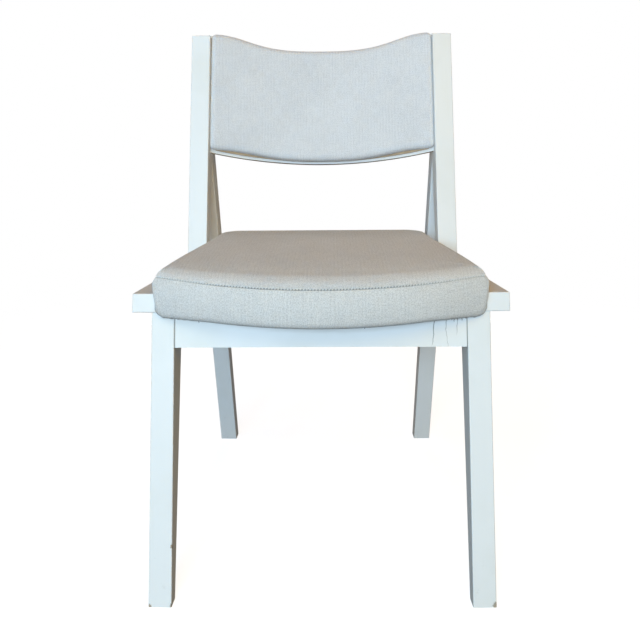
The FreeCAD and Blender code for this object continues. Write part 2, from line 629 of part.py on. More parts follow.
def main():
    os.makedirs("parts", exist_ok=True)
    right = {
        "front_leg": place_right(front_leg()),
        "rear_leg": place_right(rear_leg()),
        "back_post": place_right(back_post()),
        "side_rail": place_right(side_rail()),
        "seat_cleat": place_right(seat_cleat()),
        "front_block": front_block(),
        "rear_block": rear_block(),
    }
    cross = {"front_apron": front_apron(), "rear_apron": rear_apron()}
    seat = seat_pieces()
    back = backrest_pieces()

    groups = {}
    holes = []
    for joint, pins in frame_dowels().items():
        made = [place_right(rod(start, end, DOWEL_R)) for start, end in pins]
        groups[joint + "_dowels"] = made + [mirrored(pin) for pin in made]
        holes += [place_right(pin_hole(start, end, DOWEL_R)) for start, end in pins]

    wood_screws = []
    for (point, direction), length in zip(block_screws(), BLOCK_SCREW_LENGTHS):
        wood_screws.append(screw(point, direction, length))
        holes.append(screw_hole(point, direction, length, BLOCK_RUN_OUT))
    groups["block_screws"] = wood_screws + [mirrored(item) for item in wood_screws]

    up = V(0, 0, 1)
    seat_screws = []
    tee_nuts = []
    for point in seat_screw_places():
        length = BOARD_TOP - TEE_FLANGE - point.z
        seat_screws.append(screw(point, up, length, SEAT_SCREW_R, SEAT_SCREW_HEAD_R, SEAT_SCREW_HEAD))
        holes.append(screw_hole(point, up, length, SEAT_RUN_OUT, SEAT_SCREW_R, SEAT_SCREW_HEAD_R))
        top = V(point.x, point.y, BOARD_TOP)
        barrel = rod(top - up * TEE_BARREL, top, TEE_BARREL_R)
        flange = rod(top - up * TEE_FLANGE, top, TEE_FLANGE_R)
        nut = barrel.fuse(flange).removeSplitter()
        holes.append(nut)
        tee_nuts.append(nut.cut(rod(top - up * BOARD, top, SEAT_SCREW_R + HOLE_CLEARANCE)))
    groups["seat_screws"] = seat_screws + [mirrored(item) for item in seat_screws]
    groups["seat_tee_nuts"] = tee_nuts + [mirrored(item) for item in tee_nuts]

    groups["back_pad_screws"] = []
    reach = PANEL - SCREW_HEAD + PAD_BOARD - PAD_SCREW_SHORT
    for point, direction in back_screws():
        groups["back_pad_screws"].append(place_backrest(screw(point, direction, reach)))
        holes.append(place_backrest(screw_hole(point, direction, reach, PANEL_RUN_OUT)))

    groups["seat_staples"] = [staple(middle, along) for middle, along in staple_places()]

    back = {name: place_backrest(solid) for name, solid in back.items()}
    drill = Part.makeCompound(holes + [mirrored(hole) for hole in holes])
    housing = back["backrest_panel"]
    staples = Part.makeCompound(groups["seat_staples"])

    for name, solid in right.items():
        if name == "back_post":
            solid = solid.cut(housing)
        solid = solid.cut(drill)
        write(name + "_right", [single(solid)])
        write(name + "_left", [mirrored(single(solid))])
    for name, solid in cross.items():
        write(name, [single(solid.cut(drill))])
    for name, solid in back.items():
        write(name, [single(solid.cut(drill))])
    for name, solid in seat.items():
        write(name, [single(solid.cut(drill).cut(staples))])
    for name, solids in groups.items():
        write(name, solids)


main()
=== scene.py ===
import math

import bpy
import numpy as np
from mathutils import Matrix, Vector


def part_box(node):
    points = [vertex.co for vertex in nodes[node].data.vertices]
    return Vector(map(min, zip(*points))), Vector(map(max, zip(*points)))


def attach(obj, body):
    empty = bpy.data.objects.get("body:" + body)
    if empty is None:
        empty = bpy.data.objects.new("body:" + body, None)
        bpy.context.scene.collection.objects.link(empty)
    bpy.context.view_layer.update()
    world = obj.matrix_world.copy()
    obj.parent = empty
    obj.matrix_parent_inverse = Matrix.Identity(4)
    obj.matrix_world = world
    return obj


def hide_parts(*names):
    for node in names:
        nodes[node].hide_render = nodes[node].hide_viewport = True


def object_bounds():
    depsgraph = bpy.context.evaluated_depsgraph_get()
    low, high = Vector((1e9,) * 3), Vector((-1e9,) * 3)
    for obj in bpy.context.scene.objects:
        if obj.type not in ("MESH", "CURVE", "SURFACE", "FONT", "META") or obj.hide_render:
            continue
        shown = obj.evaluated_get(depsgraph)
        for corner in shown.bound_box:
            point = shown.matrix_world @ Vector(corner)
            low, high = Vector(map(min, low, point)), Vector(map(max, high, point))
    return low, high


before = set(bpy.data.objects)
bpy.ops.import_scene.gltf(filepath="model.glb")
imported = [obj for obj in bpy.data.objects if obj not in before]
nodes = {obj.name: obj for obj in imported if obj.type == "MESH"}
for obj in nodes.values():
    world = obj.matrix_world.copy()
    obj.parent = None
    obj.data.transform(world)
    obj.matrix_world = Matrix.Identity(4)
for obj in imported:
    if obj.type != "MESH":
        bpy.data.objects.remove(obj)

# A painted side chair with a padded seat and back. Metres, +Z up, the chair faces -Y.
# Depth is measured backwards from the front edge of the front feet.

cad_low, cad_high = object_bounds()
FRONT = cad_low.y

# Camera
CAMERA_AT = (0.01595, -1.20626, 0.64088)
CAMERA_PITCH = 8.337         # degrees down
CAMERA_TURN = -0.808         # degrees to the right
CAMERA_ROLL = 0.458
CAMERA_LENS = 41.09
CAMERA_SHIFT = (-0.00206, -0.125)

# Frame
LEG_RAKE = 11.0              # degrees, the top of a front leg leans backwards
REAR_LEG_RAKE = -16.6
POST_LEAN = math.radians(13.55)
POST_FOOT_DEPTH = 0.3026

# Seat
SEAT_FRONT = 0.016           # depth of the bowed front at the middle
SEAT_BOW_R = 0.500
SEAT_CORNER = (0.2354, 0.0733)
SEAT_WAIST = (0.2005, 0.290)
SEAT_BACK = (0.190, 0.408)
FRONT_CORNER_R = 0.0125
WAIST_R = 0.20
BACK_CORNER_R = 0.045
NOSE_CORNER_X = 0.2140        # where the band's lower corners begin to round upwards
NOSE_CORNER_R = 0.018
SEAT_SAMPLES = 328           # points round the cushion, a multiple of 8

# Backrest, as rise up the lean and set square to it, backwards
PAD_HALF = (0.1946, 0.1928)  # at the lower and the upper edge
PAD_TOP = (0.8212, 0.8417, 0.173, 1.9)
PAD_BOTTOM = (0.620, 0.6346, 0.170, 1.5)
PAD_FRONT_SET = (0.003, 0.040)
PAD_BACK_SET = (0.0187, 0.0617)
PAD_SAMPLES = 328
PAD_FILL = 0.0022

STITCH_PITCH = 0.0042


# ---------------------------------------------------------------- outlines

def filleted(corners, step=0.002):
    """A closed outline through corners (x, y, radius), each rounded to its radius."""
    points = []
    for index, (x, y, radius) in enumerate(corners):
        here = np.array((x, y))
        if radius == 0:
            points.append(here)
            continue
        before = np.array(corners[index - 1][:2]) - here
        after = np.array(corners[(index + 1) % len(corners)][:2]) - here
        before /= np.linalg.norm(before)
        after /= np.linalg.norm(after)
        half = math.acos(before @ after) / 2
        centre = here + (before + after) / np.linalg.norm(before + after) * radius / math.sin(half)
        start = here + before * radius / math.tan(half) - centre
        end = here + after * radius / math.tan(half) - centre
        first = math.atan2(start[1], start[0])
        turn = (math.atan2(end[1], end[0]) - first + math.pi) % (2 * math.pi) - math.pi
        for angle in np.linspace(first, first + turn, 2 + int(abs(turn) * radius / step)):
            points.append(centre + radius * np.array((math.cos(angle), math.sin(angle))))
    return np.array(points)


def resampled(points, count, denser=lambda middles: 1):
    """The same closed outline with so many points, and their outward normals and run along it.
    denser says how much closer the points stand at a place."""
    closed = np.vstack([points, points[:1]])
    steps = np.linalg.norm(np.diff(closed, axis=0), axis=1)
    length = np.append(0, np.cumsum(steps))
    share = np.append(0, np.cumsum(steps * denser((closed[1:] + closed[:-1]) / 2)))
    wanted = np.interp(np.linspace(0, share[-1], count, endpoint=False), share, length)
    even = np.stack([np.interp(wanted, length, closed[:, axis]) for axis in (0, 1)], axis=1)
    along = np.roll(even, -1, axis=0) - np.roll(even, 1, axis=0)
    along /= np.linalg.norm(along, axis=1)[:, None]
    return even, np.stack([along[:, 1], -along[:, 0]], axis=1), np.append(wanted, length[-1])


def near_front_corners(places):
    """How much denser the seat's points stand where its outline turns sharply."""
    away = np.hypot(np.abs(places[:, 0]) - 0.230, places[:, 1] - FRONT - 0.078)
    return 1 + 1.6 * np.exp(-(away / 0.035) ** 2)


def mirrored_corners(right):
    """Corners of a symmetrical outline from its right half, which starts on the middle line."""
    left = [(-x, y, radius) for x, y, radius in reversed(right) if x > 0]
    return right + left


def seat_outline():
    right = []
    for x in np.linspace(0, 0.200, 14):
        right.append((x, SEAT_FRONT + SEAT_BOW_R - math.sqrt(SEAT_BOW_R ** 2 - x ** 2), 0))
    right.append((*SEAT_CORNER, FRONT_CORNER_R))
    right.append((*SEAT_WAIST, WAIST_R))
    right.append((*SEAT_BACK, BACK_CORNER_R))
    right.append((0.001, SEAT_BACK[1], 0))
    corners = [(x, FRONT + depth, radius) for x, depth, radius in right]
    return filleted(mirrored_corners(corners))


def pad_edge_rise(edge, x):
    """Rise of a pad edge that sweeps up from the middle and levels out at its ends."""
    middle, end, reach, power = edge
    share = min(1, abs(x) / reach) ** power
    return middle + (end - middle) * (1 - math.cos(math.pi * share)) / 2


def backrest_outline():
    lower_half, upper_half = PAD_HALF
    right = [(x, pad_edge_rise(PAD_BOTTOM, x), 0) for x in np.linspace(0, 0.180, 19)]
    right.append((lower_half, PAD_BOTTOM[1] + 0.0005, 0.007))
    right.append((upper_half, PAD_TOP[1] - 0.0005, 0.010))
    right += [(x, pad_edge_rise(PAD_TOP, x), 0) for x in np.linspace(0.177, 0.001, 19)]
    return filleted(mirrored_corners(right))


# ---------------------------------------------------------------- padded forms

def square_grid(half):
    """Points of a grid of 2*half+1 a side as (ring, place along the ring from 0 to 1), by cell."""
    cells = {}
    for row in range(-half, half + 1):
        for column in range(-half, half + 1):
            ring = max(abs(row), abs(column))
            if ring == 0:
                cells[row, column] = (0, 0.0)
            elif row == -ring and column >= 0 and column < ring:
                cells[row, column] = (ring, column / (8 * ring))
            elif column == ring and row < ring:
                cells[row, column] = (ring, (row + 2 * ring) / (8 * ring))
            elif row == ring and column > -ring:
                cells[row, column] = (ring, (4 * ring - column) / (8 * ring))
            elif column == -ring and row > -ring:
                cells[row, column] = (ring, (6 * ring - row) / (8 * ring))
            else:
                cells[row, column] = (ring, (8 * ring + column) / (8 * ring))
    return cells


class Pad:
    """A closed padded form: rings round an outline, closed by a quad grid at each end."""

    def __init__(self, outline, normals, run):
        self.outline = outline
        self.normals = normals
        self.run = run
        self.count = len(outline)
        self.rings = []
        self.half = self.count // 8
        self.cells = square_grid(self.half)

    def ring(self, inset, height):
        """Adds a ring drawn in from the outline, at a height; both may vary round it."""
        flat = self.outline - self.normals * np.broadcast_to(inset, self.count)[:, None]
        heights = np.broadcast_to(height, self.count)[:, None]
        self.rings.append(np.hstack([flat, heights]))

    def cap(self, edge):
        """Inner points of a grid that closes a ring, in plan, by cell."""
        centre = edge[:, :2].mean(axis=0)
        inner = {}
        for cell, (ring, place) in self.cells.items():
            if ring == self.half:
                continue
            at = place * self.count
            low = int(at) % self.count
            share = at - int(at)
            rim = edge[low, :2] * (1 - share) + edge[(low + 1) % self.count, :2] * share
            inner[cell] = centre + (rim - centre) * ring / self.half
        return inner

    def cap_index(self, inner, start, last_ring):
        """Vertex index of each cell of a cap whose inner points start at an index."""
        order = {cell: start + number for number, cell in enumerate(inner)}
        for cell, (ring, place) in self.cells.items():
            if ring == self.half:
                order[cell] = last_ring + round(place * self.count) % self.count
        return order

    def faces(self, bottom, top):
        """Quads of the whole form; bottom and top are the caps' cells."""
        count = self.count
        quads = []
        for level in range(len(self.rings) - 1):
            for k in range(count):
                step = (k + 1) % count
                quads.append((level * count + k, level * count + step,
                              (level + 1) * count + step, (level + 1) * count + k))
        start = len(self.rings) * count
        below = self.cap_index(bottom, start, 0)
        above = self.cap_index(top, start + len(bottom), (len(self.rings) - 1) * count)
        for row in range(-self.half, self.half):
            for column in range(-self.half, self.half):
                corners = [(row, column), (row, column + 1), (row + 1, column + 1), (row + 1, column)]
                quads.append(tuple(above[cell] for cell in corners))
                quads.append(tuple(below[cell] for cell in reversed(corners)))
        return quads


def mesh_object(name, points, faces):
    mesh = bpy.data.meshes.new(name)
    mesh.from_pydata([tuple(point) for point in points], [], faces)
    mesh.update()
    piece = bpy.data.objects.new(name, mesh)
    bpy.context.scene.collection.objects.link(piece)
    return piece


def inflated(points, faces, held, travel, pressure=4.0, frames=20):
    """Points after the cloth has been blown up; held points stay, and no point goes past travel."""
    piece = mesh_object("cloth_trial", points, faces)
    group = piece.vertex_groups.new(name="held")
    group.add([int(index) for index in np.nonzero(held)[0]], 1.0, "REPLACE")
    cloth = piece.modifiers.new("cloth", "CLOTH")
    cloth.settings.quality = 6
    cloth.settings.mass = 0.25
    cloth.settings.tension_stiffness = 12
    cloth.settings.compression_stiffness = 12
    cloth.settings.shear_stiffness = 4
    cloth.settings.bending_stiffness = 0.4
    cloth.settings.use_pressure = True
    cloth.settings.uniform_pressure_force = pressure
    cloth.settings.vertex_group_mass = "held"
    cloth.settings.effector_weights.gravity = 0
    cloth.point_cache.frame_start = 1
    cloth.point_cache.frame_end = frames
    scene = bpy.context.scene
    for number in range(1, frames + 1):
        scene.frame_set(number)
    solved = piece.evaluated_get(bpy.context.evaluated_depsgraph_get()).to_mesh()
    moved = np.empty(len(points) * 3)
    solved.vertices.foreach_get("co", moved)
    moved = moved.reshape(-1, 3) - points
    bpy.data.objects.remove(piece)
    scene.frame_set(1)
    far = np.linalg.norm(moved, axis=1)
    print("inflated", len(points), "mean", far.mean().round(4), "most", far.max().round(4), flush=True)
    return points + moved * np.minimum(1, travel / np.maximum(far, 1e-9))[:, None]


def smoothed(values, reach):
    """A closed row of values averaged over 2*reach+1 neighbours."""
    return sum(np.roll(values, shift) for shift in range(-reach, reach + 1)) / (2 * reach + 1)


def smoothstep(low, high, value):
    share = np.clip((value - low) / (high - low), 0, 1)
    return share * share * (3 - 2 * share)


def nearest_share(points, outline, softness):
    """Distance from each point to the outline, and the soft weights of the outline's points."""
    apart = np.linalg.norm(points[:, None, :] - outline[None], axis=2)
    distance = apart.min(axis=1)
    weights = np.exp(-(apart - distance[:, None]) / softness)
    return distance, weights / weights.sum(axis=1)[:, None]


def out_of(rings, level):
    """Outward unit normals along one ring of a form."""
    ring = rings[level]
    along = np.roll(ring, -1, axis=0) - np.roll(ring, 1, axis=0)
    upward = rings[level + 1] - rings[level - 1]
    normal = np.cross(along, upward)
    return normal / np.linalg.norm(normal, axis=1)[:, None]


# ---------------------------------------------------------------- seat cushion

RAIL_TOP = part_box("side_rail_right")[1].z
SEAT_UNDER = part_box("seat_board")[0].z - 0.0006
NOSE_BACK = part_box("seat_front_lip")[1].y - FRONT + 0.0006
RAIL_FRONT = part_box("side_rail_right")[0].y - FRONT
SEAT_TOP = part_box("seat_cover_top")[1].z
SEAM_MIDDLE = 0.438          # height of the topstitched seam at the middle of the front
SEAM_BOW = 0.0060            # how much it rises towards the front corners
SEAM_SIDE = 0.4457           # and its height along the sides and back
BAND_LOW = 0.3844            # lower edge of the band at the middle of the front
BAND_BOW = 0.0040
SEAM_INSET = 0.0065
CROWN_FRONT = 0.023          # how far the crown takes to roll over behind the seam
CROWN_SIDE = 0.015
CROWN_BACK = 0.013
CROWN_POWER = 2.1
SEAT_FILL = 0.0020           # how far the filling may still lift the cover
BAND_RINGS = 10


def seat_levels(outline, normals):
    """Height of the band's lower edge and of the seam, and the crown's reach, round the outline."""
    across = np.abs(outline[:, 0])
    depth = outline[:, 1] - FRONT
    ahead = depth < depth[np.argmax(across)]
    low = BAND_LOW + BAND_BOW * np.minimum(1, across / 0.15) ** 2
    corner = np.clip(across - NOSE_CORNER_X, 0, NOSE_CORNER_R)
    low += NOSE_CORNER_R - np.sqrt(NOSE_CORNER_R ** 2 - corner ** 2)
    low = np.where(ahead, np.minimum(low, SEAT_UNDER), SEAT_UNDER)
    low += (SEAT_UNDER - low) * smoothstep(RAIL_FRONT - 0.0008, RAIL_FRONT, depth)
    low += gathers(outline[:, 0]) * (low < SEAT_UNDER - 0.004)
    seam = SEAM_MIDDLE + SEAM_BOW * np.minimum(1, across / 0.195) ** 2
    seam += (SEAM_SIDE - SEAM_MIDDLE - SEAM_BOW) * smoothstep(0.18, 0.232, across)
    seam = np.where(ahead, np.minimum(seam, SEAM_SIDE), SEAM_SIDE)
    crown = np.where(normals[:, 1] < -0.6, CROWN_FRONT, CROWN_SIDE)
    crown = np.where(normals[:, 1] > 0.6, CROWN_BACK, crown)
    return low, smoothed(seam, 4), smoothed(crown, 12)


def gathers(across):
    """Small puckers of the lower edge where the cloth is folded round the front corners."""
    near = smoothstep(0.155, 0.190, np.abs(across))
    return 0.0005 * near * (np.sin(across * 610) + np.sin(across * 1130 + 1))


def seat_start():
    """The cushion before it is filled, with the index of its seam ring."""
    outline, normals, run = resampled(seat_outline(), SEAT_SAMPLES, near_front_corners)
    pad = Pad(outline, normals, run)
    low, seam, crown = seat_levels(outline, normals)
    depth = outline[:, 1] - FRONT
    nose = smoothstep(0.0, 0.012, SEAT_UNDER - low)
    reach = (NOSE_BACK - depth) / np.maximum(-normals[:, 1], 0.3)
    reach = np.where(nose > 0, np.maximum(reach, 0.0025), 0)
    flat_insets = (0.0145, 0.0130, 0.0115, 0.0100, 0.0085, 0.0070)
    nose_insets = (reach, reach, reach, reach * 0.9, reach * 0.7, np.minimum(0.007, reach * 0.5))
    rises = (1.0, 0.5, 0.06, 0.0, 0.0, 0.0)
    for flat, hanging, rise in zip(flat_insets, nose_insets, rises):
        pad.ring(flat * (1 - nose) + hanging * nose, low + (SEAT_UNDER - low) * rise)
    pad.ring(0.0040 * (1 - nose) + np.minimum(0.0040, reach * 0.3) * nose, low + 0.0010)
    start = low + 0.0035
    for share in np.linspace(0, 1, BAND_RINGS):
        inset = SEAM_INSET * max(0, (share - 0.42) / 0.58) ** 2 + 0.0025 * max(0, 1 - share / 0.36) ** 2
        pad.ring(inset, start + (seam - start) * share)
    seam_ring = len(pad.rings) - 1
    for inward in (0.0008, 0.0026, 0.0056, 0.0096):
        top = crown_height(depth + inward)
        pad.ring(SEAM_INSET + inward, seam + (top - seam) * rolled(inward / crown))
    return pad, seam_ring, seam, crown


def crown_height(depth):
    """Height of the seat's top, which rises gently towards the back."""
    return 0.4525 + 0.0175 * (1 - np.exp(-np.maximum(depth - 0.03, 0) / 0.15))


def rolled(share):
    """0 to 1 over the reach of the crown: upright at the seam, level at the end."""
    left = 1 - np.clip(share, 0, 1)
    return (1 - left ** CROWN_POWER) ** (1 / CROWN_POWER)


def seat_top_points(pad, inner, seam, crown):
    """Points of the top panel over the inner cells, drawn down a little before filling."""
    plan = np.array(list(inner.values()))
    distance, weights = nearest_share(plan, pad.outline, 0.012)
    seam_here = weights @ seam
    crown_here = weights @ crown
    inward = np.maximum(distance - SEAM_INSET, 0)
    top = crown_height(plan[:, 1] - FRONT)
    height = seam_here + (top - seam_here) * rolled(inward / crown_here)
    height -= 0.0008 * smoothstep(0.010, 0.110, distance)
    return np.hstack([plan, height[:, None]]), distance


def folded_seam(rings, level):
    """The rings with a lapped, topstitched fold worked in along one of them, and the stitch line."""
    ring = rings[level]
    outward = out_of(rings, level)
    made = rings[:level]
    gaps = {}
    for side in (-1, 1):
        step = rings[level + side] - ring
        gaps[side] = (step, np.linalg.norm(step, axis=1)[:, None])
    profile = [(-1, 0.70, 0.0), (-1, 0.0018, 0.0), (-1, 0.0009, -0.0008), (0, 0, -0.0019),
               (1, 0.0005, -0.0002), (1, 0.0010, 0.0006), (1, 0.0022, 0.0005), (1, 0.85, 0.0001)]
    stitch_line = None
    for side, away, lift in profile:
        at = ring + outward * lift
        if side:
            step, gap = gaps[side]
            at = at + (step * away if away > 0.1 else step / gap * away)
        if away == 0.0010:
            stitch_line = at - outward * 0.0002 - step / gap * 0.0009
        made.append(at)
    return made + rings[level + 1:], stitch_line, outward


def finished_mesh(name, pad, rings, bottom, top, cut_for, shaded_rings):
    """The final mesh of a pad, smooth and once subdivided, with its cloth's flat coordinates.
    Its last argument holds the rings where painted shade darkens the cloth, with how much."""
    pad.rings = rings
    faces = pad.faces(bottom, top)
    points = np.vstack(rings + [np.array(list(bottom.values())), np.array(list(top.values()))])
    piece = mesh_object(name, points, faces)
    layer = piece.data.uv_layers.new(name="cut")
    layer.data.foreach_set("uv", cut_for(points, faces).ravel())
    # Painted shade: this attribute says how much the cloth is darkened in creases, along the seam and under
    # turned edges.
    painted_shade = piece.data.attributes.new("painted_shade", "FLOAT", "POINT")
    for level, shares in shaded_rings.items():
        for k, share in enumerate(np.broadcast_to(shares, pad.count)):
            painted_shade.data[level * pad.count + k].value = share
    piece.data.polygons.foreach_set("use_smooth", [True] * len(faces))
    finer = piece.modifiers.new("finer", "SUBSURF")
    finer.levels = finer.render_levels = 1
    applied = bpy.data.meshes.new_from_object(piece.evaluated_get(bpy.context.evaluated_depsgraph_get()))
    piece.modifiers.clear()
    old = piece.data
    piece.data = applied
    applied.name = name
    bpy.data.meshes.remove(old)
    return piece


def clear_of_posts(points):
    """Presses the cushion flat where it passes between the posts."""
    foot_low, foot_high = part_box("back_post_right")
    gap = foot_low.x - 0.0003
    squeeze = smoothstep(-0.030, -0.004, points[:, 1] - foot_low.y)
    limit = gap + 0.06 * (1 - squeeze)
    points[:, 0] = np.clip(points[:, 0], -limit, limit)
    return points


def seat_cushion():
    pad, seam_ring, seam, crown = seat_start()
    count = pad.count
    inner_top = pad.cap(pad.rings[-1])
    inner_bottom = pad.cap(pad.rings[0])
    top, distance = seat_top_points(pad, inner_top, seam, crown)
    bottom_plan = np.array(list(inner_bottom.values()))
    bottom = np.hstack([bottom_plan, np.full((len(bottom_plan), 1), SEAT_UNDER)])
    points = np.vstack(pad.rings + [bottom, top])
    faces = pad.faces(inner_bottom, inner_top)
    held = np.zeros(len(points), bool)
    held[:8 * count] = True
    held[seam_ring * count:(seam_ring + 1) * count] = True
    held[len(pad.rings) * count:len(pad.rings) * count + len(bottom)] = True
    travel = np.full(len(points), 0.0004)
    for level in range(8, seam_ring):
        share = (level - 7) / (seam_ring - 7)
        travel[level * count:(level + 1) * count] = 0.0010 * math.sin(math.pi * share)
    travel[-len(top):] += SEAT_FILL * smoothstep(0.010, 0.110, distance)
    filled = clear_of_posts(inflated(points, faces, held, travel))
    rings = [filled[level * count:(level + 1) * count] for level in range(len(pad.rings))]
    last = len(pad.rings) * count
    new_bottom = dict(zip(inner_bottom, filled[last:last + len(bottom)]))
    new_top = dict(zip(inner_top, filled[last + len(bottom):]))
    rings, stitch_line, outward = folded_seam(rings, seam_ring)
    seam_level = seam_ring + 3

    def cut_for(points, faces):
        """Top and underside lie flat as they are; the band is unrolled along its length."""
        order = np.array(faces)
        cut = points[order][:, :, :2].copy()
        band_faces = seam_level * count
        level, k = np.divmod(np.arange(band_faces), count)
        ups = np.append(0, np.cumsum([np.linalg.norm(b - a, axis=1).mean()
                                      for a, b in zip(rings, rings[1:])]))
        cut[:band_faces, :, 0] = pad.run[k[:, None] + np.array((0, 1, 1, 0))]
        cut[:band_faces, :, 1] = ups[level[:, None] + np.array((0, 0, 1, 1))]
        return cut

    # Painted shade on the cloth: in the seam's fold, less towards the sides, and along the band's lower edge
    # where it turns under.
    sewn = 1 - 0.65 * smoothstep(0.11, 0.20, np.abs(pad.outline[:, 0]))
    shaded_rings = {3: 1.0, 4: 1.0, 5: 1.0, 6: 0.8, 7: 0.3,
             seam_level - 1: 0.6 * sewn, seam_level: sewn, seam_level + 1: 0.2 * sewn}
    # Painted shade over the front roll just above the seam, less towards the corners.
    roll_shade = (pad.normals[:, 1] < -0.6) * (1 - 0.7 * smoothstep(0.05, 0.17, np.abs(pad.outline[:, 0])))
    for above, share in enumerate((0.10, 0.18, 0.18, 0.15, 0.10, 0.05)):
        shaded_rings[seam_level + 2 + above] = share * roll_shade
    piece = finished_mesh("seat_cushion", pad, rings, new_bottom, new_top, cut_for, shaded_rings)
    return piece, stitch_line, outward, rings[6]


def stitches(name, line, outward, pitch, length, width):
    """Separate sewing stitches along a closed line, each a small flattened bead of thread."""
    closed = np.vstack([line, line[:1]])
    run = np.append(0, np.cumsum(np.linalg.norm(np.diff(closed, axis=0), axis=1)))
    number = int(run[-1] / pitch)
    at = np.arange(number) * run[-1] / number
    places = np.stack([np.interp(at, run, closed[:, axis]) for axis in range(3)], axis=1)
    facing = np.vstack([outward, outward[:1]])
    ups = np.stack([np.interp(at, run, facing[:, axis]) for axis in range(3)], axis=1)
    points, faces = [], []
    sides = 6
    stations = ((-0.5, 0.35), (-0.38, 0.85), (0.0, 1.0), (0.38, 0.85), (0.5, 0.35))
    for number in range(len(places)):
        ahead = places[(number + 1) % len(places)] - places[number - 1]
        ahead = ahead / np.linalg.norm(ahead)
        up = ups[number] / np.linalg.norm(ups[number])
        across = np.cross(up, ahead)
        ahead = ahead + across * 0.10
        base = len(points)
        for share, thick in stations:
            sink = 0.0013 * (2 * share) ** 4
            middle = places[number] + ahead * share * length - up * sink
            for side in range(sides):
                angle = 2 * math.pi * side / sides
                round_ = across * math.cos(angle) + up * 0.55 * math.sin(angle)
                points.append(middle + round_ * thick * width / 2)
        for station in range(len(stations) - 1):
            for side in range(sides):
                step = (side + 1) % sides
                low = base + station * sides
                faces.append((low + side, low + step, low + sides + step, low + sides + side))
        faces.append(tuple(base + side for side in reversed(range(sides))))
        faces.append(tuple(base + (len(stations) - 1) * sides + side for side in range(sides)))
    piece = mesh_object(name, points, faces)
    piece.data.polygons.foreach_set("use_smooth", [True] * len(faces))
    return piece


def loose_threads(name, hem, hanging, width):
    """Frayed ends at the band's lower edge: each is (x, how far it leans right, length)."""
    front = hem[hem[:, 1] < FRONT + 0.075]
    points, faces = [], []
    sides = 5
    stations = (0.0, 0.35, 0.7, 1.0)
    for x, lean, length in hanging:
        root = Vector(front[np.argmin(np.abs(front[:, 0] - x))]) + Vector((0, -0.0002, 0.0006))
        base = len(points)
        for share in stations:
            curl = lean * math.sin(2.4 * share)
            middle = root + Vector((curl, -0.0006 * share, -length * share))
            for side in range(sides):
                angle = 2 * math.pi * side / sides
                radius = width / 2 * (1 - 0.6 * share)
                points.append(middle + radius * Vector((math.cos(angle), math.sin(angle), 0)))
        for low in range(base, base + (len(stations) - 1) * sides, sides):
            for side in range(sides):
                step = (side + 1) % sides
                faces.append((low + step, low + side, low + sides + side, low + sides + step))
        faces.append(tuple(base + side for side in range(sides)))
        faces.append(tuple(base + (len(stations) - 1) * sides + side for side in reversed(range(sides))))
    piece = mesh_object(name, points, faces)
    piece.data.polygons.foreach_set("use_smooth", [True] * len(faces))
    return piece


# ---------------------------------------------------------------- backrest pad

POST_BASE = Vector((0, FRONT + POST_FOOT_DEPTH - RAIL_TOP * math.tan(POST_LEAN), 0))
RISE = Vector((0, math.sin(POST_LEAN), math.cos(POST_LEAN)))
SET = Vector((0, math.cos(POST_LEAN), -math.sin(POST_LEAN)))


def bow(across, ends, half=PAD_HALF[0]):
    """Set of a curved layer from its set at the ends and at the middle."""
    end, middle = ends
    sag = middle - end
    radius = (half ** 2 + sag ** 2) / (2 * sag)
    return end + np.sqrt(np.maximum(radius ** 2 - across ** 2, 0)) - (radius - sag)


def backrest_place(local):
    """World points of (x, rise, height towards the front)."""
    local = np.asarray(local)
    return (np.array(POST_BASE) + local[:, :1] * np.array((1, 0, 0))
            + local[:, 1:2] * np.array(RISE) - local[:, 2:3] * np.array(SET))


